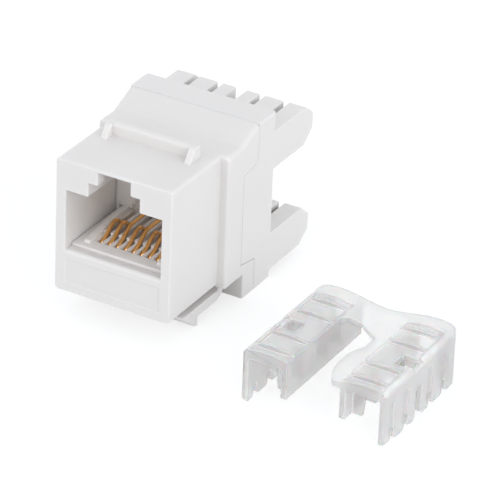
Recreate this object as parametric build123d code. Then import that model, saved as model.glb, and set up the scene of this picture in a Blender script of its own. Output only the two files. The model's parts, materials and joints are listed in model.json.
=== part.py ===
"""Keystone jack: plug port at the front, two rows of slotted wire towers at the rear,
and the clear wire cap that is taken off and stands beside it.

Millimetres. The jack stands on its foot, with its flexible latch underneath.
+X is to the right seen from the front, the plug port faces -Y, and +Z is up.
The origin is on the surface it stands on, under the middle of the foot.
"""
import math
import os

from build123d import *

os.makedirs("parts", exist_ok=True)

# Port block, the part that passes through the panel
block_width = 14.5
block_height = 16.0
block_depth = 10.1
block_corner_radius = 0.4
block_edge_radius = 0.15

# Wide body behind the panel
body_width = 16.5
body_drop = 0.2
body_wall = 1.1
body_roof = 1.0
body_edge_radius = 0.3
shoulder_edge_radius = 0.6
ledge_depth = 2.8
ledge_blend_radius = 2.0
slope_run = 3.7
crown_rise = 1.45
collar_depth = 3.55

# Foot under the wide body
foot_setback = 3.95
foot_height = 3.25
foot_skin = 0.9

# Plug port, with a step for the plug's latch and a narrower one above it
port_width = 12.0
port_floor_height = 5.15
port_height = 7.2
port_depth = 10.3
port_rim_radius = 0.15
port_sill_radius = 0.5
key_width = 6.4
key_height = 1.65
tab_width = 4.05
tab_height = 1.6
front_wall = 1.4
latch_pocket_depth = 7.6

# Bare label panel, a shallow recess under the port
label_width = 11.8
label_height = 2.85
label_lift = 1.15
label_sink = 0.12

# Fixed panel catch on top: a lip with a gusset at each end
catch_width = 11.3
catch_shift = -0.15
catch_height = 1.45
catch_thickness = 1.05
gusset_width = 0.8
gusset_reach = 1.3
gusset_head = 0.25
panel_slot = 1.35
catch_edge_radius = 0.4

# Flexible panel latch under the block: a flat arm with a wedge at its free end
latch_width = 14.2
latch_gap = 0.95
latch_thickness = 1.2
latch_catch_gap = 3.65
wedge_land = 0.35
wedge_run = 2.7
wedge_nose = 0.25
latch_root_gap = 1.95
latch_root_thickness = 1.1
latch_bend_radius = 1.9
latch_inner_radius = 0.5

# Carrier of the spring contacts
floor_lip = 1.25
carrier_floor = 1.2
carrier_wall = 1.0
carrier_clearance = 0.05
deck_step = 0.27
comb_front = 4.9
comb_height = 0.35
comb_width = 8.4
rail_width = 0.75
rail_front = 2.1
rail_nose = 0.25
rail_low = 0.25
rail_high = 0.9
rail_crest = 8.0
back_wall = 1.15
back_wall_recess = 0.6
back_wall_recess_width = 7.0
undercut_height = 0.7
undercut_width = 11.0
slot_depth = 2.45

# Spring contacts, round wire
contact_count = 8
contact_pitch = 1.02
wire_diameter = 0.42
wire_slot_clearance = 0.08
toe_room = 0.45
contact_toe = 3.6
contact_toe_drop = 0.7
contact_front_height = 4.95
contact_arch_setback = 6.3
contact_arch_height = 6.8
contact_arch_radius = 1.0
contact_toe_radius = 0.4
low_row_height = 4.9
low_row_bend = 8.75
low_row_radius = 0.7
high_row_height = 6.7
high_row_radius = 1.4
high_row_contacts = ("spring_contact_3", "spring_contact_5")

# Circuit board
board_thickness = 1.2
board_edge_clearance = 0.1
board_seat_clearance = 0.05
board_hole_clearance = 0.09

# Wire towers
tower_length = 8.5
tower_height = 4.6
tower_gap = 8.05
tower_chamfer_length = 1.75
tower_outer_chamfer = 1.25
tower_inner_chamfer = 1.4
tower_centre_height = 6.4
wire_slot_width = 0.65
wire_slot_pitch = 3.04
centre_gap_width = 1.35
middle_tooth_width = 1.7
slot_floor = 0.9
centre_gap_depth = 6.6

# Side cheeks of the terminal block, let into the sides of the housing
cheek_reach = 3.0
cheek_front_height = 11.0
cheek_rear_height = 12.0
cheek_centre_height = 6.7
seam_clearance = 0.05
core_board_gap = 0.25
core_pocket_depth = 5.6
core_pocket_height = 5.6
core_pocket_width = 12.0

# Terminals with a fork that cuts through the wire's sleeve
terminal_thickness = 0.4
terminal_offset = 4.9
terminal_pin_width = 0.5
terminal_stem_width = 1.2
terminal_fork_width = 2.1
terminal_fork_setback = 0.65
terminal_fork_reach = 6.45
terminal_jaw = 0.3
terminal_jaw_depth = 4.6
terminal_lead_in = 0.55
terminal_clearance = 0.05

# Clear wire cap
cap_half_width = 8.55
cap_front_overhang = 7.55
cap_back_overhang = 8.9
cap_wall = 0.7
cap_channel_height = 5.4
cap_edge_height = 6.3
cap_crown_height = 6.76
cap_crown_offset = 5.6
cap_valley_height = 6.0
cap_inner_leg_clearance = 0.18
cap_inner_leg_lift = 1.9
cap_roof_edge_radius = 0.85
cap_channel_radius = 0.3
cap_front_radius = 0.3
cap_back_radius = 1.2
cap_return_width = 2.2
notch_width = 0.75
notch_height = 1.5
tooth_end_radius = 0.5
wall_groove_depth = 0.15
wall_groove_top = 4.6
cap_centre_gap_height = 3.4
rib_width = 0.45
pocket_floor_height = 6.15
pocket_outer_margin = 0.8
pocket_inner = 3.3
pocket_front_margin = 0.35
pocket_rear_margin = 1.95
window_length = 2.1
window_reach = 1.95
window_sill_height = 5.9
pusher_thickness = 0.5
pusher_width = 1.2
pusher_flare = 0.4
flap_start = 2.2
flap_reach = 0.75
flap_reach_setback = 4.6
flap_end_setback = 8.0
flap_end = 1.8
bridge_front = 12.1
bridge_corner_setback = 10.2
bridge_corner = 1.65
bridge_straight_end = 0.8
bridge_left_radius = 1.0

# Where the cap stands, from the jack's middle and front face
cap_side_shift = 27.45
cap_row_setback = 3.05

# How far a cutting block runs past the face it cuts, and how near an edge lies to be picked
cut_past = 1.0
snap = 0.01

# Worked-out places
foot_front = block_depth + foot_setback
collar_front = block_depth + ledge_depth + slope_run
body_rear = collar_front + collar_depth
body_top = block_height + crown_rise
stand_height = -foot_height
port_top = port_floor_height + port_height
key_top = port_top + key_height
tab_top = key_top + tab_height
cavity_front = port_depth + back_wall + seam_clearance
cavity_half_width = body_width / 2 - body_wall
cavity_floor = body_roof - body_drop
cavity_top = block_height - body_roof
deck_height = port_floor_height + deck_step
board_front = cavity_front + board_seat_clearance
board_rear = board_front + board_thickness
core_front = board_rear + core_board_gap
hinge_setback = board_front + board_thickness / 2
tower_rear = body_rear + tower_length
terminal_fork_start = body_rear - terminal_fork_setback
terminal_fork_end = body_rear + terminal_fork_reach
slot_offsets = [
    side * (centre_gap_width / 2 + middle_tooth_width + wire_slot_width / 2 + step * wire_slot_pitch)
    for side in (-1, 1)
    for step in (0, 1)
]
cap_inner_leg = tower_gap / 2 - cap_inner_leg_clearance
datum = Location((0, -(foot_front + body_rear) / 2, foot_height))


def block(x_range, y_range, z_range):
    """A box between two limits on each axis."""
    size = [high - low for low, high in (x_range, y_range, z_range)]
    middle = [(high + low) / 2 for low, high in (x_range, y_range, z_range)]
    return Pos(*middle) * Box(*size)


def side_profile(points, x_range):
    """A solid from an outline of (y, z) points, drawn out along X."""
    outline = make_face(Polyline([(x_range[0], y, z) for y, z in points], close=True))
    return extrude(outline, amount=x_range[1] - x_range[0], dir=(1, 0, 0))


def across(width, centre=0):
    """The limits of something of this width, centred on the middle or on another place."""
    return (centre - width / 2, centre + width / 2)


def near(place):
    """Limits close round one coordinate, for picking edges."""
    return (place - snap, place + snap)


def mirrored(side, low, high):
    """X limits on one side of the middle, from distances to the middle."""
    return sorted((side * low, side * high))


def edges_at(solid, axis, **limits):
    """The edges along an axis whose centres lie within the limits given for x, y and z."""
    found = ShapeList()
    for edge in solid.edges().filter_by(axis):
        centre = edge.center()
        place = {"x": centre.X, "y": centre.Y, "z": centre.Z}
        if all(low <= place[name] <= high for name, (low, high) in limits.items()):
            found.append(edge)
    return found


def cheek_outline(clearance):
    """The tapered side cheek seen from the side, grown by a clearance."""
    front = collar_front - cheek_reach - clearance
    rear = collar_front + clearance
    front_half = cheek_front_height / 2 + clearance
    rear_half = cheek_rear_height / 2 + clearance
    return [
        (front, cheek_centre_height - front_half),
        (front, cheek_centre_height + front_half),
        (rear, cheek_centre_height + rear_half),
        (rear, cheek_centre_height - rear_half),
    ]


def make_panel_latch():
    """The springy arm under the block, one moulding with the housing."""
    arm_top = -latch_gap
    arm_bottom = arm_top - latch_thickness
    catch_face = block_depth - latch_catch_gap
    wedge_front = catch_face - wedge_land
    nose = wedge_front - wedge_run
    root_rear = foot_front - latch_root_gap
    root_front = root_rear - latch_root_thickness
    root_top = body_roof / 2 - body_drop
    arm = side_profile(
        [
            (nose, arm_top),
            (root_front, arm_top),
            (root_front, root_top),
            (root_rear, root_top),
            (root_rear, arm_bottom),
            (catch_face, arm_bottom),
            (catch_face, stand_height),
            (wedge_front, stand_height),
            (nose, arm_top - wedge_nose),
        ],
        across(latch_width),
    )
    inner_bend = edges_at(arm, Axis.X, y=near(root_front), z=near(arm_top))
    arm = fillet(inner_bend, latch_inner_radius)
    outer_bend = edges_at(arm, Axis.X, y=near(root_rear), z=near(arm_bottom))
    return fillet(outer_bend, latch_bend_radius)


def make_front_housing():
    """Port block, wide body, panel catch and panel latch in one moulding."""
    port_block = block(across(block_width), (0, block_depth + body_wall), (0, block_height))
    port_block = fillet(port_block.edges().filter_by(Axis.Y), block_corner_radius)
    front_outline = port_block.faces().sort_by(Axis.Y)[0].edges()
    port_block = fillet(front_outline, block_edge_radius)
    housing_rear = collar_front - seam_clearance
    body = side_profile(
        [
            (block_depth, -body_drop),
            (block_depth, block_height),
            (block_depth + ledge_depth, block_height),
            (housing_rear, body_top),
            (housing_rear, stand_height),
            (foot_front, stand_height),
            (foot_front, -body_drop),
        ],
        across(body_width),
    )
    ledge = edges_at(body, Axis.X, y=near(block_depth + ledge_depth))
    body = fillet(ledge, ledge_blend_radius)
    rim = ShapeList()
    for edge in body.edges():
        centre = edge.center()
        on_side = abs(abs(centre.X) - body_width / 2) < snap
        if on_side and centre.Z > block_height - snap and centre.Y < housing_rear - snap:
            rim.append(edge)
    body = fillet(rim, shoulder_edge_radius)
    corners = edges_at(body, Axis.Z, y=near(block_depth))
    body = fillet(corners, body_edge_radius)
    housing = port_block + body + make_panel_latch()

    lip_rear = block_depth - panel_slot
    lip_front = lip_rear - catch_thickness
    lip_top = block_height + catch_height
    lip_range = across(catch_width, catch_shift)
    lip = block(lip_range, (lip_front, lip_rear), (block_height - body_roof, lip_top))
    lip = fillet(edges_at(lip, Axis.X, z=near(lip_top)), catch_edge_radius)
    housing += lip
    for side, outer in ((-1, lip_range[0]), (1, lip_range[1])):
        inner = outer - side * gusset_width
        gusset = side_profile(
            [
                (lip_front - gusset_reach, block_height),
                (lip_front - gusset_head, lip_top),
                (lip_rear - catch_edge_radius, lip_top),
                (lip_rear - catch_edge_radius, block_height),
            ],
            (min(inner, outer), max(inner, outer)),
        )
        housing += gusset

    port_x = across(port_width)
    key_x = across(key_width)
    pocket_rear = front_wall + latch_pocket_depth
    cavity_rear = cavity_front + cut_past
    housing -= block(port_x, (-cut_past, cavity_rear), (port_floor_height, port_top))
    housing -= block(key_x, (-cut_past, pocket_rear), (port_top - cut_past, key_top))
    housing -= block(across(tab_width), (-cut_past, front_wall + cut_past), (key_top - cut_past, tab_top))
    housing -= block(key_x, (front_wall, pocket_rear), (key_top - cut_past, tab_top))
    sill = edges_at(housing, Axis.X, y=near(0), z=near(port_floor_height))
    housing = fillet(sill, port_sill_radius)
    housing = fillet(port_rim(housing), port_rim_radius)
    housing -= block(port_x, (floor_lip, cavity_rear), (carrier_floor, port_floor_height + cut_past))
    housing_end = collar_front + cut_past
    housing -= block(across(2 * cavity_half_width), (cavity_front, housing_end), (cavity_floor, cavity_top))
    housing -= block(
        across(2 * cavity_half_width),
        (foot_front + foot_skin, housing_end),
        (stand_height + foot_skin, cavity_floor + cut_past),
    )
    housing -= block(
        across(label_width), (-cut_past, label_sink), (label_lift, label_lift + label_height)
    )
    for side in (-1, 1):
        cheek_x = mirrored(side, cavity_half_width - cut_past, body_width / 2 + cut_past)
        housing -= side_profile(cheek_outline(seam_clearance), cheek_x)
    return housing


def port_rim(housing):
    """The edges round the mouth of the plug port, on the front face."""
    rim = ShapeList()
    for edge in housing.edges():
        box = edge.bounding_box()
        in_face = abs(box.min.Y) < snap and abs(box.max.Y) < snap
        in_width = max(-box.min.X, box.max.X) < port_width / 2 + snap
        if in_face and in_width and box.min.Z > port_floor_height - snap and box.max.Z < tab_top + snap:
            rim.append(edge)
    return rim


def make_contact_carrier():
    """Insert that closes the port's floor and back, with one slot for each spring contact."""
    half = port_width / 2 - carrier_clearance
    front = floor_lip + carrier_clearance
    rear = port_depth + back_wall
    bottom = carrier_floor + carrier_clearance
    comb_top = deck_height + comb_height
    carrier = block(across(2 * half), (front, rear), (bottom, deck_height))
    carrier += block(across(2 * half), (port_depth, rear), (bottom, port_top - carrier_clearance))
    slot_bottom = deck_height - slot_depth
    carrier -= block(
        across(2 * (half - carrier_wall)),
        (front + carrier_wall, port_depth - carrier_wall),
        (bottom - cut_past, slot_bottom - carrier_wall),
    )
    recess_y = (port_depth - cut_past, port_depth + back_wall_recess)
    carrier -= block(across(back_wall_recess_width), recess_y, (deck_height, port_top - carrier_wall))
    carrier -= block(across(undercut_width), recess_y, (deck_height, deck_height + undercut_height))
    carrier += block(across(comb_width), (comb_front, rear), (deck_height - comb_height, comb_top))
    for side in (-1, 1):
        carrier += side_profile(
            [
                (rail_front, deck_height - comb_height),
                (rail_front, deck_height),
                (rail_front + rail_nose, deck_height + rail_low),
                (rail_crest, deck_height + rail_high),
                (port_depth + back_wall_recess, deck_height + rail_high),
                (port_depth + back_wall_recess, deck_height - comb_height),
            ],
            mirrored(side, comb_width / 2, comb_width / 2 + rail_width),
        )
    slot_width = wire_diameter + 2 * wire_slot_clearance
    slot_front = contact_toe - wire_diameter / 2 - toe_room
    for number in range(contact_count):
        slot_x = across(slot_width, contact_place(number))
        wire_top = contact_row_height(number) + slot_width / 2
        carrier -= block(slot_x, (slot_front, recess_y[1]), (slot_bottom, comb_top + cut_past))
        carrier -= block(slot_x, (port_depth, rear + cut_past), (slot_bottom, wire_top))
    return carrier


def contact_place(number):
    """X of a spring contact, counted from 0 at the left."""
    return (number - (contact_count - 1) / 2) * contact_pitch


def contact_name(number):
    """Name of a spring contact, counted from 1 at the left."""
    return "spring_contact_" + str(number + 1)


def contact_row_height(number):
    """Height at which a contact's tail goes into the board: two of them run higher."""
    return high_row_height if contact_name(number) in high_row_contacts else low_row_height


def make_spring_contact(number):
    """Round wire: straight tail, arch in the port, and a toe that dips into the carrier's slot."""
    toe = (contact_toe, contact_front_height - contact_toe_drop)
    toe_bend = (contact_toe, contact_front_height)
    rise = (contact_arch_height - contact_front_height) / (contact_arch_setback - contact_toe)
    if contact_name(number) in high_row_contacts:
        shoulder = (contact_toe + (high_row_height - contact_front_height) / rise, high_row_height)
        points = [toe, toe_bend, shoulder, (board_rear, high_row_height)]
        radii = [contact_toe_radius, high_row_radius]
    else:
        arch = (contact_arch_setback, contact_arch_height)
        points = [toe, toe_bend, arch, (low_row_bend, low_row_height), (board_rear, low_row_height)]
        radii = [contact_toe_radius, contact_arch_radius, low_row_radius]
    place = contact_place(number)
    path = FilletPolyline(*[(place, y, z) for y, z in points], radius=radii)
    start = Plane(origin=path @ 0, z_dir=path % 0)
    return sweep(start * Circle(wire_diameter / 2), path=path)


def make_circuit_board():
    """Board with a round hole for each contact tail and each terminal pin."""
    half = cavity_half_width - board_edge_clearance
    z_range = (cavity_floor + board_edge_clearance, cavity_top - board_edge_clearance)
    board = block((-half, half), (board_front, board_rear), z_range)
    wire_hole = wire_diameter / 2 + board_hole_clearance
    pin_hole = math.hypot(terminal_pin_width, terminal_thickness) / 2 + terminal_clearance / 2
    drill_plane = Rot(90, 0, 0)
    for number in range(contact_count):
        hole = drill_plane * Cylinder(wire_hole, 2 * board_thickness)
        board -= Pos(contact_place(number), hinge_setback, contact_row_height(number)) * hole
    for row_height in terminal_heights():
        for offset in slot_offsets:
            hole = drill_plane * Cylinder(pin_hole, 2 * board_thickness)
            board -= Pos(offset, hinge_setback, row_height) * hole
    return board


def terminal_heights():
    """Height of the terminals of the lower and the upper row."""
    return (tower_centre_height - terminal_offset, tower_centre_height + terminal_offset)


def make_idc_terminal(offset, height):
    """Flat stamping: pin into the board, stem, and a fork that stands in the wire slot."""
    pin = terminal_pin_width / 2
    stem = terminal_stem_width / 2
    fork = terminal_fork_width / 2
    jaw = terminal_jaw / 2
    jaw_floor = terminal_fork_end - terminal_jaw_depth
    half_outline = [
        (pin, board_front),
        (pin, board_rear + terminal_clearance),
        (stem, board_rear + terminal_clearance),
        (stem, terminal_fork_start),
        (fork, terminal_fork_start),
        (fork, terminal_fork_end - terminal_lead_in),
        (fork - terminal_lead_in, terminal_fork_end),
        (jaw + terminal_lead_in / 2, terminal_fork_end),
        (jaw, terminal_fork_end - terminal_lead_in),
        (jaw, jaw_floor),
    ]
    outline = half_outline + [(-x, y) for x, y in reversed(half_outline)]
    low = height - terminal_thickness / 2
    plate = make_face(Polyline([(offset + x, y, low) for x, y in outline], close=True))
    return extrude(plate, amount=terminal_thickness, dir=(0, 0, 1))


def make_tower_row(inner_height, outer_height):
    """One row of towers: the two end towers reach further back, with a chamfered end."""
    direction = 1 if outer_height > inner_height else -1
    rear_shoulder = tower_rear - tower_chamfer_length
    root = body_rear - collar_depth / 2
    row = side_profile(
        [
            (root, inner_height),
            (rear_shoulder, inner_height),
            (tower_rear, inner_height + direction * tower_inner_chamfer),
            (tower_rear, outer_height - direction * tower_outer_chamfer),
            (rear_shoulder, outer_height),
            (root, outer_height),
        ],
        across(body_width),
    )
    heights = (min(inner_height, outer_height) - cut_past, max(inner_height, outer_height) + cut_past)
    tower_end = tower_rear + cut_past
    for offset in slot_offsets:
        row -= block(across(wire_slot_width, offset), (body_rear + slot_floor, tower_end), heights)
    row -= block(across(centre_gap_width), (tower_rear - centre_gap_depth, tower_end), heights)
    return row - block(across(2 * max(slot_offsets)), (rear_shoulder, tower_end), heights)


def make_terminal_block():
    """Collar, core and cheeks that close the rear of the housing, with the two rows of towers."""
    collar = block(across(body_width), (collar_front, body_rear), (stand_height, body_top))
    collar = fillet(edges_at(collar, Axis.Z, y=near(body_rear)), body_edge_radius)
    core_half = cavity_half_width - seam_clearance
    core_range = (cavity_floor + seam_clearance, cavity_top - seam_clearance)
    terminal_block = collar + block(across(2 * core_half), (core_front, collar_front), core_range)
    for side in (-1, 1):
        cheek_x = mirrored(side, core_half, body_width / 2)
        terminal_block += side_profile(cheek_outline(0), cheek_x)
    terminal_block -= block(
        across(core_pocket_width),
        (core_front - cut_past, core_front + core_pocket_depth),
        (tower_centre_height - core_pocket_height / 2, tower_centre_height + core_pocket_height / 2),
    )
    for direction in (-1, 1):
        inner = tower_centre_height + direction * tower_gap / 2
        terminal_block += make_tower_row(inner, inner + direction * tower_height)
    reach = terminal_fork_width / 2 + terminal_clearance
    thickness = terminal_thickness / 2 + terminal_clearance
    for height in terminal_heights():
        for offset in slot_offsets:
            terminal_block -= block(
                across(2 * reach, offset),
                (core_front - cut_past, terminal_fork_end + terminal_clearance),
                (height - thickness, height + thickness),
            )
    return terminal_block


def make_cap_shell():
    """Roof that dips over the cable, the outer comb walls and the short walls at the back."""
    front = -cap_front_overhang
    back = cap_back_overhang
    inside = cap_half_width - cap_wall
    walls = Polyline(
        (cap_half_width, front, cap_edge_height),
        (cap_half_width, front, 0),
        (inside, front, 0),
        (inside, front, cap_channel_height),
        (-inside, front, cap_channel_height),
        (-inside, front, 0),
        (-cap_half_width, front, 0),
        (-cap_half_width, front, cap_edge_height),
    )
    roof = Spline(
        (-cap_half_width, front, cap_edge_height),
        (-cap_crown_offset, front, cap_crown_height),
        (0, front, cap_valley_height),
        (cap_crown_offset, front, cap_crown_height),
        (cap_half_width, front, cap_edge_height),
    )
    shell = extrude(make_face(walls + roof), amount=back - front, dir=(0, 1, 0))
    for side in (-1, 1):
        outer_x = near(side * cap_half_width)
        shell = fillet(edges_at(shell, Axis.Y, x=outer_x, z=near(cap_edge_height)), cap_roof_edge_radius)
        channel_x = near(side * inside)
        shell = fillet(edges_at(shell, Axis.Y, x=channel_x, z=near(cap_channel_height)), cap_channel_radius)
        return_x = mirrored(side, cap_half_width - cap_return_width, cap_half_width - cap_wall / 2)
        shell += block(return_x, (back - cap_wall, back), (0, cap_channel_height + cap_wall / 2))
    plan = block(across(2 * cap_half_width), (front, back), (0, cap_crown_height + cut_past))
    plan = fillet(edges_at(plan, Axis.Z, y=near(back)), cap_back_radius)
    plan = fillet(edges_at(plan, Axis.Z, y=near(front)), cap_front_radius)
    return shell & plan


def make_cable_opening():
    """Plan of the gap between the halves, open at the front, with the flap's lobe on its right."""
    front = -cap_front_overhang
    left = cap_inner_leg - cap_wall
    end = front + bridge_front
    turn = bridge_left_radius * (1 - math.cos(math.pi / 4))
    return make_face(
        Polyline(
            (flap_start, front),
            (flap_start, front - cut_past),
            (-left, front - cut_past),
            (-left, end - bridge_left_radius),
        )
        + ThreePointArc(
            (-left, end - bridge_left_radius), (turn - left, end - turn), (bridge_left_radius - left, end)
        )
        + Polyline(
            (bridge_left_radius - left, end),
            (-bridge_straight_end, end),
            (bridge_corner, front + bridge_corner_setback),
            (flap_end, front + flap_end_setback),
        )
        + ThreePointArc(
            (flap_end, front + flap_end_setback),
            (flap_reach, front + flap_reach_setback),
            (flap_start, front),
        )
    )


def add_legs_and_pushers(cap, side):
    """The inner leg of one half, and the blades that push the wires down into the slots."""
    roof_inside = cap_channel_height + cap_wall / 2
    leg_x = mirrored(side, cap_inner_leg - cap_wall, cap_inner_leg)
    cap += block(leg_x, (-cap_front_overhang, cap_back_overhang), (cap_inner_leg_lift, roof_inside))
    blade_start = side * (cap_inner_leg - cap_wall / 2)
    blade_end = side * (cap_inner_leg + pusher_width)
    for offset in slot_offsets:
        blade_front = offset - pusher_thickness / 2
        blade = make_face(
            Polyline(
                (blade_start, blade_front, roof_inside),
                (blade_start, blade_front, cap_inner_leg_lift),
                (blade_end, blade_front, cap_inner_leg_lift),
                (blade_end + side * pusher_flare, blade_front, roof_inside),
                close=True,
            )
        )
        cap += extrude(blade, amount=pusher_thickness, dir=(0, 1, 0))
    return cap


def cut_wire_notches(cap, side):
    """Notches and grooves in the outer wall of one half, in line with the jack's wire slots."""
    wall_x = mirrored(side, cap_half_width - 2 * cap_wall, cap_half_width + cut_past)
    groove_x = mirrored(side, cap_half_width - wall_groove_depth, cap_half_width + cut_past)
    notch_top = notch_height - notch_width / 2
    for offset in slot_offsets:
        notch_y = across(notch_width, offset)
        cap -= block(wall_x, notch_y, (-cut_past, notch_top))
        arch = Rot(0, 90, 0) * Cylinder(notch_width / 2, wall_x[1] - wall_x[0])
        cap -= Pos(sum(wall_x) / 2, offset, notch_top) * arch
        cap -= block(groove_x, notch_y, (notch_top, wall_groove_top))
    cap -= block(wall_x, across(centre_gap_width), (-cut_past, cap_centre_gap_height))
    feet = edges_at(cap, Axis.X, x=wall_x, z=near(0))
    return fillet(feet, tooth_end_radius)


def cut_roof_pockets(cap, side):
    """Shallow pockets in the roof of one half, with a rib left over each wire slot, and the window."""
    rib = rib_width / 2
    high = cap_crown_height + cut_past
    pocket_x = mirrored(side, pocket_inner, cap_half_width - pocket_outer_margin)
    first = pocket_front_margin - cap_front_overhang - rib
    last = cap_back_overhang - pocket_rear_margin + rib
    ribs = [first] + sorted(slot_offsets) + [last]
    for start, end in zip(ribs, ribs[1:]):
        cap -= block(pocket_x, (start + rib, end - rib), (pocket_floor_height, high))
    window_x = mirrored(side, cap_half_width - cap_wall - window_reach, cap_half_width - cap_wall)
    window_y = across(window_length)
    cap -= block(window_x, window_y, (cap_channel_height - cut_past, high))
    sill_x = mirrored(side, cap_half_width - 2 * cap_wall, cap_half_width + cut_past)
    return cap - block(sill_x, window_y, (window_sill_height, high))


def make_wire_cap():
    """Clear cap: two channels along the rows, joined at the back by a bridge over the cable."""
    opening = extrude(make_cable_opening(), amount=cap_crown_height, dir=(0, 0, 1))
    cap = make_cap_shell() - Pos(0, 0, cap_channel_height - cut_past) * opening
    for side in (-1, 1):
        cap = add_legs_and_pushers(cap, side)
        cap = cut_roof_pockets(cap, side)
        cap = cut_wire_notches(cap, side)
    return cap


def save(name, solid):
    """Put a finished piece in the row's frame and write it."""
    export_step(datum * solid, "parts/" + name + ".step")


save("front_housing", make_front_housing())
save("terminal_block", make_terminal_block())
save("contact_carrier", make_contact_carrier())
save("circuit_board", make_circuit_board())
for number in range(contact_count):
    save(contact_name(number), make_spring_contact(number))
terminal_places = [(offset, height) for height in terminal_heights() for offset in slot_offsets]
for number, (offset, height) in enumerate(terminal_places, start=1):
    save("idc_terminal_" + str(number), make_idc_terminal(offset, height))
cap_place = Pos(cap_side_shift, cap_row_setback, stand_height)
save("wire_cap", cap_place * make_wire_cap())
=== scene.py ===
import json
import math

import bmesh
import bpy
from mathutils import Matrix, Vector

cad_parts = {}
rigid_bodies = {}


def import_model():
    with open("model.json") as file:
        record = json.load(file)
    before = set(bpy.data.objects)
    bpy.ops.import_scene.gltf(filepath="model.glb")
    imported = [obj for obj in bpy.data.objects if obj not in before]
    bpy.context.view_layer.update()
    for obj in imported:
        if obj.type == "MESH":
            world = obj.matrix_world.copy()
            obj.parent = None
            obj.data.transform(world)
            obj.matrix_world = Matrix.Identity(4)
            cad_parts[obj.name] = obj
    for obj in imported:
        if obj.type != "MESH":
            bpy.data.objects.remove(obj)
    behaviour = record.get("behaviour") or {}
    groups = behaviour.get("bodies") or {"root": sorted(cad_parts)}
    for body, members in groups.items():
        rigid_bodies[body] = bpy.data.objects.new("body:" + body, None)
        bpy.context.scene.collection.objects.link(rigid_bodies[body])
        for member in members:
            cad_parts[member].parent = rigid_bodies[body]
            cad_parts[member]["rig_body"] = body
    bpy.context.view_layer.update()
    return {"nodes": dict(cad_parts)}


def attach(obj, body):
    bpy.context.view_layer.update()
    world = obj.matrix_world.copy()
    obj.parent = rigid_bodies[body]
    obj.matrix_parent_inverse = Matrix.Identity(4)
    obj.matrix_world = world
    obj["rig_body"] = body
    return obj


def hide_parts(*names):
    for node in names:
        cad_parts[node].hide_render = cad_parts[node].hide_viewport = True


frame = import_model()
mm = 0.001


# Front housing: the white moulding that snaps into a wall plate, with the plug port in front, the fixed
# catch on top and the springy latch underneath. Injection-moulded ABS, so every edge has a tiny radius,
# the skin has the fine grain of a spark-eroded mould, and the plastic lets a little light in.
def shade_corners(mesh, gentle_degrees):
    """Smooth shading over gentle turns. Broad faces outweigh narrow ones, so flat walls stay flat."""
    broad_face_power = 3
    least_pull = 1e-9
    gentle = math.cos(math.radians(gentle_degrees))
    normals = [face.normal.copy() for face in mesh.polygons]
    pulls = []
    faces_at = [[] for _ in mesh.vertices]
    for face in mesh.polygons:
        face.use_smooth = True
        rim = [mesh.vertices[corner].co for corner in face.vertices]
        girth = sum((rim[place] - rim[place - 1]).length for place in range(len(rim)))
        pulls.append((face.area / girth / mm) ** broad_face_power)
        for corner in face.vertices:
            faces_at[corner].append(face.index)
    corner_normals = []
    for face in mesh.polygons:
        own = normals[face.index]
        for corner in face.vertices:
            blend = own * least_pull
            for other in faces_at[corner]:
                if normals[other].dot(own) > gentle:
                    blend = blend + normals[other] * pulls[other]
            corner_normals.append(blend.normalized())
    mesh.normals_split_custom_set(corner_normals)


def web_width(edge, beside):
    """The width of the wall between two edges of one face, where they run side by side."""
    no_limit = 1.0
    end_margin = 0.001 * mm
    width = no_limit
    for one, other in ((edge, beside), (beside, edge)):
        base = one.verts[0].co
        span = one.verts[1].co - base
        along = span.normalized()
        for corner in other.verts:
            reach = corner.co - base
            place = reach.dot(along)
            if end_margin < place < span.length - end_margin:
                width = min(width, (reach - place * along).length)
    return width


def edge_room(edge, outer, edge_radius):
    """How far an outer edge can be rounded before it meets another rounding or cuts through a thin wall."""
    lone_share = 0.9
    common_share = 0.45
    same_run = 0.6
    room = edge_radius
    for corner in edge.verts:
        along = (corner.co - edge.other_vert(corner).co).normalized()
        for near in corner.link_edges:
            if near is edge:
                continue
            far_corner = near.other_vert(corner)
            onward = (far_corner.co - corner.co).normalized()
            if near in outer and onward.dot(along) > same_run:
                continue
            both_ends = any(other in outer for other in far_corner.link_edges if other is not near)
            room = min(room, near.calc_length() * (common_share if both_ends else lone_share))
    for face in edge.link_faces:
        for beside in face.edges:
            if not set(beside.verts) & set(edge.verts):
                share = common_share if beside in outer else lone_share
                room = min(room, web_width(edge, beside) * share)
    return room


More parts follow.
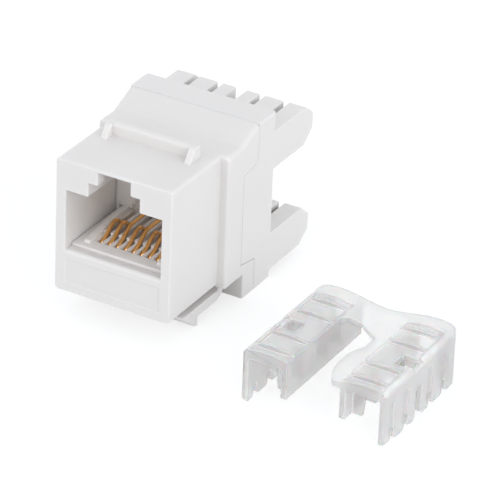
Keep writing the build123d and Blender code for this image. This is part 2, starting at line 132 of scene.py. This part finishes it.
def softened(node_name, piece_name, edge_radius):
    """A moulded piece with the CAD node's shape. Its outer edges get a small radius, less at thin walls."""
    weld_distance = 0.002 * mm
    flat_degrees = 0.4
    sharp_degrees = 35
    radius_steps = 3
    piece_mesh = bmesh.new()
    piece_mesh.from_mesh(frame["nodes"][node_name].data)
    bmesh.ops.remove_doubles(piece_mesh, verts=piece_mesh.verts, dist=weld_distance)
    bmesh.ops.dissolve_limit(
        piece_mesh, angle_limit=math.radians(flat_degrees), verts=piece_mesh.verts, edges=piece_mesh.edges,
        delimit=set()
    )
    round_edges = piece_mesh.edges.layers.float.new("bevel_weight_edge")
    outer = {
        edge for edge in piece_mesh.edges
        if len(edge.link_faces) == 2 and edge.is_convex
        and edge.calc_face_angle(0) > math.radians(sharp_degrees)
    }
    for edge in outer:
        edge[round_edges] = edge_room(edge, outer, edge_radius) / edge_radius
    mesh = bpy.data.meshes.new(piece_name)
    piece_mesh.to_mesh(mesh)
    piece_mesh.free()
    piece = bpy.data.objects.new(piece_name, mesh)
    bpy.context.scene.collection.objects.link(piece)
    rounding = piece.modifiers.new("moulded edges", "BEVEL")
    rounding.width = edge_radius
    rounding.segments = radius_steps
    rounding.limit_method = "WEIGHT"
    rounding.use_clamp_overlap = False
    bpy.context.view_layer.update()
    rounded_piece = piece.evaluated_get(bpy.context.evaluated_depsgraph_get())
    piece.data = bpy.data.meshes.new_from_object(rounded_piece)
    piece.data.name = piece_name
    piece.modifiers.clear()
    shade_corners(piece.data, sharp_degrees)
    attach(piece, frame["nodes"][node_name]["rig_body"])
    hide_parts(node_name)
    return piece


def colour(hex_code):
    """A colour written as sRGB hex, as the linear RGBA that a shader takes."""
    channels = [int(hex_code[place:place + 2], 16) / 255 for place in (1, 3, 5)]
    linear = [
        value / 12.92 if value <= 0.04045 else ((value + 0.055) / 1.055) ** 2.4 for value in channels
    ]
    return (*linear, 1.0)


def add_node(owner, kind, settings=None, by_place=None, **by_name):
    """Adds a shader node. Inputs take values or sockets, by place where they have no name of their own."""
    node = owner.node_tree.nodes.new(kind)
    for option, value in (settings or {}).items():
        setattr(node, option, value)
    inputs = [(node.inputs[name.replace("_", " ")], value) for name, value in by_name.items()]
    inputs += [(node.inputs[place], value) for place, value in (by_place or {}).items()]
    for socket, value in inputs:
        if isinstance(value, bpy.types.NodeSocket):
            owner.node_tree.links.new(value, socket)
        else:
            socket.default_value = value
    return node


def new_finish(name):
    """A new material, its main shader, and the place on the piece that its patterns follow."""
    material = bpy.data.materials.new(name)
    material.use_nodes = True
    place = add_node(material, "ShaderNodeTexCoord").outputs["Object"]
    return material, material.node_tree.nodes["Principled BSDF"], place


def finish_in(piece, material):
    """Gives a piece one finish all over."""
    piece.data.materials.clear()
    piece.data.materials.append(material)


# A mix of two colours takes them at these places of its inputs, and gives the result at this output.
tint_mix = {"data_type": "RGBA"}
low_tint = 6
high_tint = 7
mixed_tint = 2


def moulded_plastic(name, skin_hex, shade_hex, roughness, grain_mm, grain_depth_mm):
    """White engineering plastic: a faint flow mottle in the colour and a spark-eroded grain.

    The grain is drawn coarser than the real one, so that it shows.
    """
    flow_mm = 6.0
    polish_spread = 0.05
    glow_depth_mm = 0.8
    material, shader, place = new_finish(name)
    flow = add_node(
        material, "ShaderNodeTexNoise", Vector=place, Scale=1 / (flow_mm * mm), Detail=3.0, Roughness=0.5
    )
    tint = add_node(
        material, "ShaderNodeMix", tint_mix, {low_tint: colour(shade_hex), high_tint: colour(skin_hex)},
        Factor=flow.outputs["Fac"]
    )
    grain = add_node(
        material, "ShaderNodeTexNoise", Vector=place, Scale=1 / (grain_mm * mm), Detail=2.0, Roughness=0.6
    )
    relief = add_node(
        material, "ShaderNodeBump", Strength=0.35, Distance=grain_depth_mm * mm, Height=grain.outputs["Fac"]
    )
    polish = add_node(
        material, "ShaderNodeMapRange", Value=grain.outputs["Fac"], From_Min=0.3, From_Max=0.7,
        To_Min=roughness - polish_spread, To_Max=roughness + polish_spread
    )
    material.node_tree.links.new(tint.outputs[mixed_tint], shader.inputs["Base Color"])
    material.node_tree.links.new(relief.outputs["Normal"], shader.inputs["Normal"])
    material.node_tree.links.new(polish.outputs["Result"], shader.inputs["Roughness"])
    shader.inputs["IOR"].default_value = 1.53
    shader.inputs["Subsurface Weight"].default_value = 0.3
    shader.inputs["Subsurface Radius"].default_value = (1.0, 0.95, 0.9)
    shader.inputs["Subsurface Scale"].default_value = glow_depth_mm * mm
    return material


housing_edge_mm = 0.14
white_abs = moulded_plastic(
    "spark-eroded white ABS", "#E7E4E2", "#E4E1DE", roughness=0.42, grain_mm=0.16, grain_depth_mm=0.006
)
housing = softened("front_housing", "front_housing_moulding", housing_edge_mm * mm)
finish_in(housing, white_abs)


# Contact carrier: the insert that closes the port's floor and back and guides the spring wires between its
# ribs. A glass-filled PBT that keeps its size under solder heat, moulded with crisp edges. It is a warm
# white, duller than the housing, with a slightly coarser skin.
carrier_edge_mm = 0.05
carrier_pbt = moulded_plastic(
    "glass-filled PBT", "#F6F2EE", "#F1ECE8", roughness=0.5, grain_mm=0.2, grain_depth_mm=0.008
)
carrier = softened("contact_carrier", "contact_carrier_moulding", carrier_edge_mm * mm)
finish_in(carrier, carrier_pbt)


# Circuit board: the little board behind the carrier that joins each spring wire to its terminal.
# Glass-epoxy laminate with green solder mask. Its glass threads are too fine to show, so the wave texture
# draws them as faint bands 2.8 mm apart.
solder_mask, mask_shader, mask_place = new_finish("green solder mask on FR-4")
# A wave texture turns by this many radians over a metre, at a scale of 1.
wave_rate = 20
weave_band_mm = 0.45 * math.tau
weave = add_node(
    solder_mask, "ShaderNodeTexWave", {"wave_type": "BANDS", "bands_direction": "X"}, Vector=mask_place,
    Scale=math.tau / (weave_band_mm * mm * wave_rate), Distortion=0.4, Detail=1.0
)
mask_tint = add_node(
    solder_mask, "ShaderNodeMix", tint_mix, {low_tint: colour("#1C5A34"), high_tint: colour("#226640")},
    Factor=weave.outputs["Fac"]
)
solder_mask.node_tree.links.new(mask_tint.outputs[mixed_tint], mask_shader.inputs["Base Color"])
mask_shader.inputs["Roughness"].default_value = 0.3
mask_shader.inputs["Coat Weight"].default_value = 0.4
finish_in(frame["nodes"]["circuit_board"], solder_mask)


# Spring contacts: eight phosphor-bronze wires, plated with hard gold, that arch up into the port and press
# on the plug. Drawn wire is bright, so it shows warm gold with small hot glints. The fine lines along its
# length are coarser here than on the real wire, so that they show.
gold_plate, gold_shader, gold_place = new_finish("hard gold plate on phosphor bronze")
draw_line_mm = 0.05
across_lines = 1 / (draw_line_mm * mm)
along_lines = 60.0
drawn_out = add_node(
    gold_plate, "ShaderNodeMapping", Vector=gold_place, Scale=(across_lines, along_lines, across_lines)
)
draw_lines = add_node(
    gold_plate, "ShaderNodeTexNoise", Vector=drawn_out.outputs["Vector"], Scale=1.0, Detail=2.0
)
gold_tint = add_node(
    gold_plate, "ShaderNodeMix", tint_mix, {low_tint: colour("#FFBA66"), high_tint: colour("#FFCC86")},
    Factor=draw_lines.outputs["Fac"]
)
draw_polish = add_node(
    gold_plate, "ShaderNodeMapRange", Value=draw_lines.outputs["Fac"],
    From_Min=0.3, From_Max=0.7, To_Min=0.14, To_Max=0.22
)
gold_plate.node_tree.links.new(gold_tint.outputs[mixed_tint], gold_shader.inputs["Base Color"])
gold_plate.node_tree.links.new(draw_polish.outputs["Result"], gold_shader.inputs["Roughness"])
gold_shader.inputs["Metallic"].default_value = 1.0
wire_count = 8
for number in range(1, wire_count + 1):
    finish_in(frame["nodes"]["spring_contact_" + str(number)], gold_plate)


# Insulation-displacement terminals: forked blades stamped from phosphor bronze and tin plated, one for
# each wire. Tin is a soft grey metal with a satin skin. The stamping leaves faint streaks on the blade.
tin_plate, tin_shader, tin_place = new_finish("matt tin plate on phosphor bronze")
stamping_streak_mm = 0.2
streak_stretch = 0.2
stamped_along = add_node(tin_plate, "ShaderNodeMapping", Vector=tin_place, Scale=(1.0, streak_stretch, 1.0))
tin_streaks = add_node(
    tin_plate, "ShaderNodeTexNoise", Vector=stamped_along.outputs["Vector"],
    Scale=1 / (stamping_streak_mm * mm), Detail=3.0
)
tin_polish = add_node(
    tin_plate, "ShaderNodeMapRange", Value=tin_streaks.outputs["Fac"],
    From_Min=0.3, From_Max=0.7, To_Min=0.32, To_Max=0.48
)
tin_plate.node_tree.links.new(tin_polish.outputs["Result"], tin_shader.inputs["Roughness"])
tin_shader.inputs["Base Color"].default_value = colour("#D8D6D0")
tin_shader.inputs["Metallic"].default_value = 1.0
for number in range(1, wire_count + 1):
    finish_in(frame["nodes"]["idc_terminal_" + str(number)], tin_plate)


# Terminal block: the rear moulding that closes the housing, with the collar, the side cheeks and the two
# rows of slotted towers that the wires are pushed into. The same white ABS as the housing, so it shares
# its finish.
terminal_block = softened("terminal_block", "terminal_block_moulding", housing_edge_mm * mm)
finish_in(terminal_block, white_abs)


# Wire cap: the clear cap that presses the wires home, taken off and stood beside the jack. Moulded
# polycarbonate with a satin, slightly milky body. Ribs and rims carry a painted highlight, for the light
# that comes in at the edges and spreads inside, and the upright walls carry painted shade, greyer than the
# roof.
# Its skin is glossy and a little rippled by the flow in the mould.
milky_pc, gloss_shader, cap_place = new_finish("milky clear polycarbonate")
milky_links = milky_pc.node_tree.links
edge_glow_mm = 0.45
ripple_mm = 1.6
ripple_depth_mm = 0.03
haze_depth_mm = 1.0
skin_normal = add_node(milky_pc, "ShaderNodeNewGeometry").outputs["Normal"]
rounded_normal = add_node(
    milky_pc, "ShaderNodeBevel", {"samples": 8}, Radius=edge_glow_mm * mm
).outputs["Normal"]
ripples = add_node(
    milky_pc, "ShaderNodeTexNoise", Vector=cap_place, Scale=1 / (ripple_mm * mm), Detail=2.0, Roughness=0.45
)
rippled_normal = add_node(
    milky_pc, "ShaderNodeBump", Strength=0.25, Distance=ripple_depth_mm * mm, Height=ripples.outputs["Fac"],
    Normal=rounded_normal
).outputs["Normal"]

# The clear part: glossy polycarbonate, and a share of it seen straight through. What is seen through
# the upright walls is greyer than through the flat roof and floor: painted shade on the walls.
milky_links.new(rippled_normal, gloss_shader.inputs["Normal"])
gloss_shader.inputs["Base Color"].default_value = colour("#FAFBFC")
gloss_shader.inputs["Roughness"].default_value = 0.18
gloss_shader.inputs["IOR"].default_value = 1.5
gloss_shader.inputs["Transmission Weight"].default_value = 1.0
# Painted shade: the more a face stands upright, the greyer it is drawn; flat roof and floor stay lightest.
face_up = add_node(milky_pc, "ShaderNodeSeparateXYZ", Vector=skin_normal)
painted_roof_light_share = add_node(
    milky_pc, "ShaderNodeMath", {"operation": "ABSOLUTE"}, {0: face_up.outputs["Z"]}
).outputs[0]
wall_shaded_clear_colour = add_node(
    milky_pc, "ShaderNodeMix", tint_mix, {low_tint: colour("#F3F2F1"), high_tint: colour("#FDFDFC")},
    Factor=painted_roof_light_share
)
straight_through = add_node(milky_pc, "ShaderNodeBsdfTransparent", Color=wall_shaded_clear_colour.outputs[mixed_tint])
clear_mix = add_node(
    milky_pc, "ShaderNodeMixShader", Fac=0.15,
    by_place={1: straight_through.outputs[0], 2: gloss_shader.outputs[0]}
)

# The milky part: a soft haze that grows at grazing angles, and a painted highlight at the edges, where the
# light gathers: there the haze turns near white. On the upright walls the haze is greyer, as painted shade.
grazing = add_node(milky_pc, "ShaderNodeLayerWeight", Blend=0.35)
haze_share = add_node(
    milky_pc, "ShaderNodeMapRange", Value=grazing.outputs["Facing"], To_Min=0.22, To_Max=0.55
).outputs["Result"]
# Painted highlight: within the bevel radius of an edge the cap turns to near-white haze.
edge_turn = add_node(
    milky_pc, "ShaderNodeVectorMath", {"operation": "DOT_PRODUCT"}, {0: rounded_normal, 1: skin_normal}
)
painted_rim_highlight = add_node(
    milky_pc, "ShaderNodeMapRange", Value=edge_turn.outputs["Value"],
    From_Min=0.75, From_Max=1.0, To_Min=0.8, To_Max=0.0
).outputs["Result"]
# Painted shade: the haze on the upright walls is greyer than on the flat roof and floor.
wall_shaded_haze_colour = add_node(
    milky_pc, "ShaderNodeMix", tint_mix, {low_tint: colour("#DEDEDE"), high_tint: colour("#F9F9F8")},
    Factor=painted_roof_light_share
)
rim_lit_haze_colour = add_node(
    milky_pc, "ShaderNodeMix", tint_mix,
    {low_tint: wall_shaded_haze_colour.outputs[mixed_tint], high_tint: colour("#FFFDFB")}, Factor=painted_rim_highlight
)
haze = add_node(
    milky_pc, "ShaderNodeBsdfPrincipled", Base_Color=rim_lit_haze_colour.outputs[mixed_tint], Roughness=0.35, IOR=1.5,
    Normal=rippled_normal, Subsurface_Weight=0.5, Subsurface_Scale=haze_depth_mm * mm
)
haze_with_painted_rims = add_node(milky_pc, "ShaderNodeMath", {"operation": "MAXIMUM"}, {0: haze_share, 1: painted_rim_highlight})
cap_body = add_node(
    milky_pc, "ShaderNodeMixShader", Fac=haze_with_painted_rims.outputs[0],
    by_place={1: clear_mix.outputs[0], 2: haze.outputs[0]}
)
milky_links.new(cap_body.outputs[0], milky_pc.node_tree.nodes["Material Output"].inputs["Surface"])

cap_edge_mm = 0.05
cap = softened("wire_cap", "wire_cap_moulding", cap_edge_mm * mm)
finish_in(cap, milky_pc)


# The table: a plain white card, lit so that it fades into the background and keeps the soft shadows. It is
# brighter for the light that it sends back to the jack than for the eye, which sees a glow added instead.
table_half = 0.6
table_drop = 0.01 * mm
table_mesh = bpy.data.meshes.new("white_table")
table_mesh.from_pydata(
    [(right * table_half, back * table_half, 0) for right, back in ((-1, -1), (1, -1), (1, 1), (-1, 1))],
    [], [(0, 1, 2, 3)]
)
table = bpy.data.objects.new("white_table", table_mesh)
bpy.context.scene.collection.objects.link(table)
table.location.z = -table_drop
matt_card = bpy.data.materials.new("matt white card")
matt_card.use_nodes = True
card_nodes = matt_card.node_tree.nodes
card_nodes.remove(card_nodes["Principled BSDF"])
card_ray = add_node(matt_card, "ShaderNodeLightPath")
seen_or_mirrored = add_node(
    matt_card, "ShaderNodeMath", {"operation": "MAXIMUM"},
    {0: card_ray.outputs["Is Camera Ray"], 1: card_ray.outputs["Is Glossy Ray"]}
)
card_seen = add_node(
    matt_card, "ShaderNodeMath", {"operation": "MAXIMUM"},
    {0: seen_or_mirrored.outputs[0], 1: card_ray.outputs["Is Transmission Ray"]}
).outputs[0]
card_albedo = add_node(matt_card, "ShaderNodeMapRange", Value=card_seen, To_Min=0.9, To_Max=0.42)
card_skin = add_node(matt_card, "ShaderNodeBsdfDiffuse", Color=card_albedo.outputs["Result"])
glow_strength = 0.66
card_fill = add_node(
    matt_card, "ShaderNodeMath", {"operation": "MULTIPLY"}, {0: card_seen, 1: glow_strength}
)
card_glow = add_node(
    matt_card, "ShaderNodeEmission", Color=(1.0, 1.0, 1.0, 1.0), Strength=card_fill.outputs[0]
)
card_sum = add_node(
    matt_card, "ShaderNodeAddShader", by_place={0: card_skin.outputs[0], 1: card_glow.outputs[0]}
)
matt_card.node_tree.links.new(card_sum.outputs[0], card_nodes["Material Output"].inputs["Surface"])
table_mesh.materials.append(matt_card)


# Studio light: a white tent all round, a large soft lamp from the front left and a stronger one from the
# right. The tent is plain white to the eye. It lights the jack a little more weakly and coolly, and shows
# more strongly in glossy surfaces.
cool_white = (0.96, 0.985, 1.02)
mirrored_share = 0.65
tent = bpy.data.worlds.new("white tent")
bpy.context.scene.world = tent
tent.use_nodes = True
tent_light = tent.node_tree.nodes["Background"]
tent_ray = add_node(tent, "ShaderNodeLightPath")
tent_seen = add_node(
    tent, "ShaderNodeMath", {"operation": "MAXIMUM"},
    {0: tent_ray.outputs["Is Camera Ray"], 1: tent_ray.outputs["Is Transmission Ray"]}
).outputs[0]
tent_level = add_node(tent, "ShaderNodeMapRange", Value=tent_seen, To_Min=0.79, To_Max=1.0)
tent_strength = add_node(
    tent, "ShaderNodeMath", {"operation": "MULTIPLY_ADD"},
    {0: tent_ray.outputs["Is Glossy Ray"], 1: mirrored_share, 2: tent_level.outputs["Result"]}
)
tent_tint = add_node(
    tent, "ShaderNodeMix", tint_mix, {low_tint: (*cool_white, 1.0), high_tint: (1.0, 1.0, 1.0, 1.0)},
    Factor=tent_seen
)
tent.node_tree.links.new(tent_strength.outputs[0], tent_light.inputs["Strength"])
tent.node_tree.links.new(tent_tint.outputs[mixed_tint], tent_light.inputs["Color"])


def soft_lamp(name, from_point, watts):
    """A large square lamp that looks at the middle of the jack and its cap."""
    lamp_size = 0.45
    lit_middle = Vector((0.012, 0.0, 0.008))
    light = bpy.data.lights.new(name, "AREA")
    light.energy = watts
    light.color = cool_white
    light.size = lamp_size
    lamp = bpy.data.objects.new(name, light)
    bpy.context.scene.collection.objects.link(lamp)
    lamp.location = from_point
    towards = lit_middle - Vector(from_point)
    lamp.rotation_euler = towards.to_track_quat("-Z", "Y").to_euler()


soft_lamp("front left softbox", from_point=(-0.30, -0.58, 0.32), watts=0.8)
soft_lamp("right softbox", from_point=(0.62, -0.25, 0.24), watts=1.6)


# Camera: the photograph's own viewpoint, found from the corners of the port block. It looks down from the
# front right with a long lens, and is turned a little about its own axis. The picture's middle lies to the
# right of the block's lower front edge, and above it.
view_azimuth = math.radians(28.936)
view_elevation = math.radians(29.233)
view_roll = math.radians(2.422)
view_distance = 0.41524
lens_mm = 277.33
sensor_mm = 36.0
near_clip = 0.01
lower_front_edge = Vector((0.0, -17.1 * mm, 3.25 * mm))
middle_right = 14.965 * mm
middle_up = 6.04 * mm
towards_camera = Vector((
    math.sin(view_azimuth) * math.cos(view_elevation),
    -math.cos(view_azimuth) * math.cos(view_elevation),
    math.sin(view_elevation),
))
level_right = Vector((math.cos(view_azimuth), math.sin(view_azimuth), 0.0))
level_up = towards_camera.cross(level_right)
camera_right = math.cos(view_roll) * level_right + math.sin(view_roll) * level_up
camera_up = math.cos(view_roll) * level_up - math.sin(view_roll) * level_right
camera_place = (
    lower_front_edge + view_distance * towards_camera + middle_right * camera_right + middle_up * camera_up
)
lens_data = bpy.data.cameras.new("product camera")
lens_data.sensor_width = sensor_mm
lens_data.lens = lens_mm
lens_data.clip_start = near_clip
camera = bpy.data.objects.new("product camera", lens_data)
bpy.context.scene.collection.objects.link(camera)
camera.matrix_world = Matrix.Translation(camera_place) @ Matrix((
    (camera_right.x, camera_up.x, towards_camera.x),
    (camera_right.y, camera_up.y, towards_camera.y),
    (camera_right.z, camera_up.z, towards_camera.z),
)).to_4x4()
bpy.context.scene.camera = camera
bpy.context.scene.view_settings.view_transform = "Standard"
